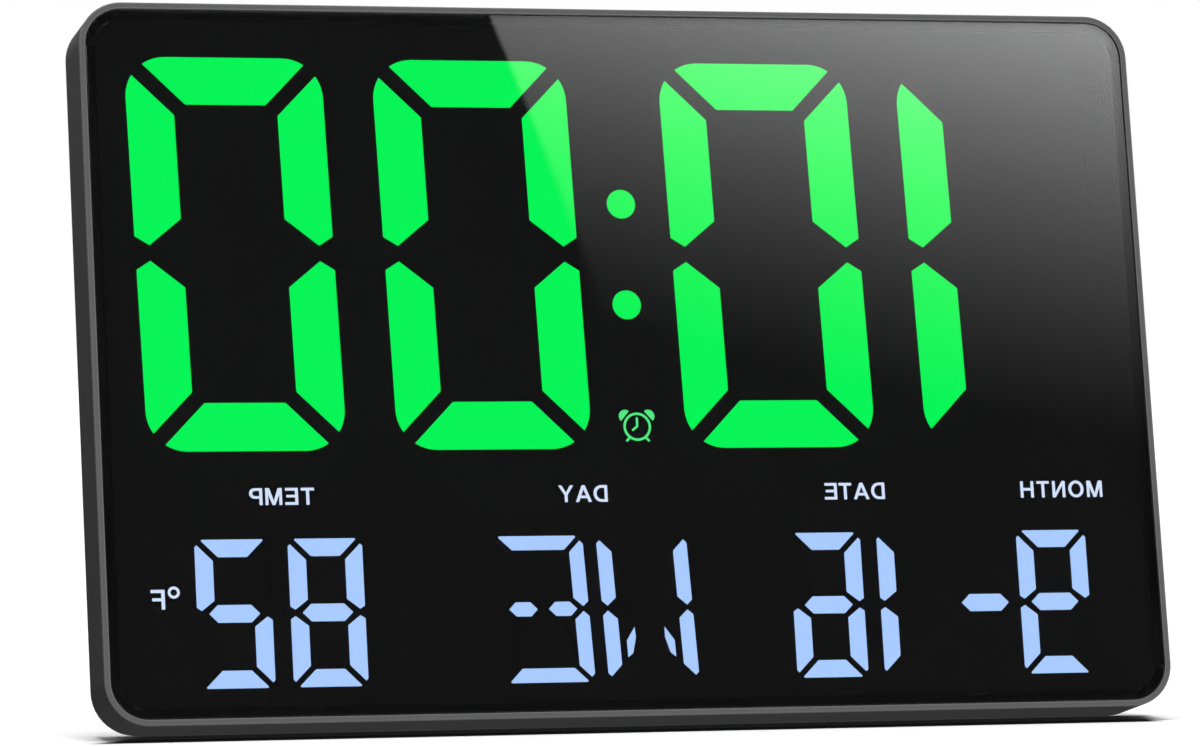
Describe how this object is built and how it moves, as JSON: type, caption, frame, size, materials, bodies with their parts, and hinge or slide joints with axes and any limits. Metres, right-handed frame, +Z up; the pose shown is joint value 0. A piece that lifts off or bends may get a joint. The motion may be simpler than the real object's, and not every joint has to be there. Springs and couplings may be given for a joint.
{
  "type": "dementia day clock",
  "caption": "Wide leaning desk and wall clock: dark clear front over big lit segment digits for time and calendar, slim case, folding stand, keyholes and rear buttons.",
  "frame": {"origin": "on the floor under the middle of the clock as seen from above, with its stand open", "axes": "+X to the right seen from the front, +Y backwards towards the stand, +Z up; the face leans back by 11.63 degrees"},
  "size_m": [0.2872, 0.071, 0.1879],
  "materials": {
    "frame_plastic": "fine matt",
    "smoked_acrylic": "polished, dark clear",
    "tape": "foam",
    "mask_black": "matt black print",
    "white_plastic": "matt white",
    "green_light": "lit diffuser",
    "blue_light": "lit diffuser",
    "dark_diffuser": "unlit behind the dark panel",
    "board_green": "solder resist",
    "led_white": "moulded",
    "chip_black": "moulded",
    "can_metal": "drawn",
    "sensor_bead": "dipped",
    "socket_metal": "plated",
    "holder_plastic": "moulded",
    "cell_metal": "brushed",
    "switch_body": "moulded",
    "screw_steel": "blackened",
    "cover_plastic": "fine spark texture",
    "door_plastic": "fine spark texture",
    "stand_plastic": "fine spark texture",
    "pad_rubber": "matt",
    "pin_steel": "ground",
    "button_plastic": "satin",
    "plunger_plastic": "moulded"
  },
  "bodies": {
    "housing": {"front_frame": "frame_plastic", "lens_panel": "smoked_acrylic", "rear_cover": "cover_plastic", "lens_tape": "tape", "mask_film": "mask_black", "reflector_block": "white_plastic", "time_segments_lit": "green_light", "time_segments_dark": "dark_diffuser", "colon_dots": "green_light", "alarm_sign_window": "dark_diffuser", "month_segments_lit": "blue_light", "date_segments_lit": "blue_light", "day_segments_lit": "blue_light", "temp_segments_lit": "blue_light", "calendar_segments_dark": "dark_diffuser", "main_board": "board_green", "time_leds": "led_white", "calendar_leds": "led_white", "controller_chip": "chip_black", "driver_chips": "chip_black", "crystal": "can_metal", "capacitors": "can_metal", "buzzer": "chip_black", "temp_sensor": "sensor_bead", "power_socket": "socket_metal", "coin_cell_holder": "holder_plastic", "coin_cell": "cell_metal", "tact_switches": "switch_body", "board_screws": "screw_steel", "cover_screws": "screw_steel", "stand_pin": "pin_steel"},
    "stand": {"stand_leg": "stand_plastic", "stand_pads": "pad_rubber"},
    "coin_door": {"coin_door": "door_plastic"},
    "set_button": {"set_button": "button_plastic", "set_plunger": "plunger_plastic"},
    "up_button": {"up_button": "button_plastic", "up_plunger": "plunger_plastic"},
    "down_button": {"down_button": "button_plastic", "down_plunger": "plunger_plastic"},
    "alarm_button": {"alarm_button": "button_plastic", "alarm_plunger": "plunger_plastic"},
    "snooze_button": {"snooze_button": "button_plastic", "snooze_plunger": "plunger_plastic"}
  },
  "joints": [
    {"name": "stand_fold", "type": "hinge", "parent": "housing", "child": "stand", "pos_m": [0, -0.01655, 0.0122], "axis": [1, 0, 0], "range_deg": [0, 90]},
    {"name": "coin_door_twist", "type": "hinge", "parent": "housing", "child": "coin_door", "pos_m": [0.092, -0.00432, 0.06073], "axis": [0, 0.9795, -0.2016], "range_deg": [0, 45]},
    {"name": "set_press", "type": "slide", "parent": "housing", "child": "set_button", "axis": [0, -0.9795, 0.2016], "range_m": [0, 0.0005], "stiffness_N_per_m": 800},
    {"name": "up_press", "type": "slide", "parent": "housing", "child": "up_button", "axis": [0, -0.9795, 0.2016], "range_m": [0, 0.0005], "stiffness_N_per_m": 800},
    {"name": "down_press", "type": "slide", "parent": "housing", "child": "down_button", "axis": [0, -0.9795, 0.2016], "range_m": [0, 0.0005], "stiffness_N_per_m": 800},
    {"name": "alarm_press", "type": "slide", "parent": "housing", "child": "alarm_button", "axis": [0, -0.9795, 0.2016], "range_m": [0, 0.0005], "stiffness_N_per_m": 800},
    {"name": "snooze_press", "type": "slide", "parent": "housing", "child": "snooze_button", "axis": [0, -0.9795, 0.2016], "range_m": [0, 0.0005], "stiffness_N_per_m": 800}
  ]
}
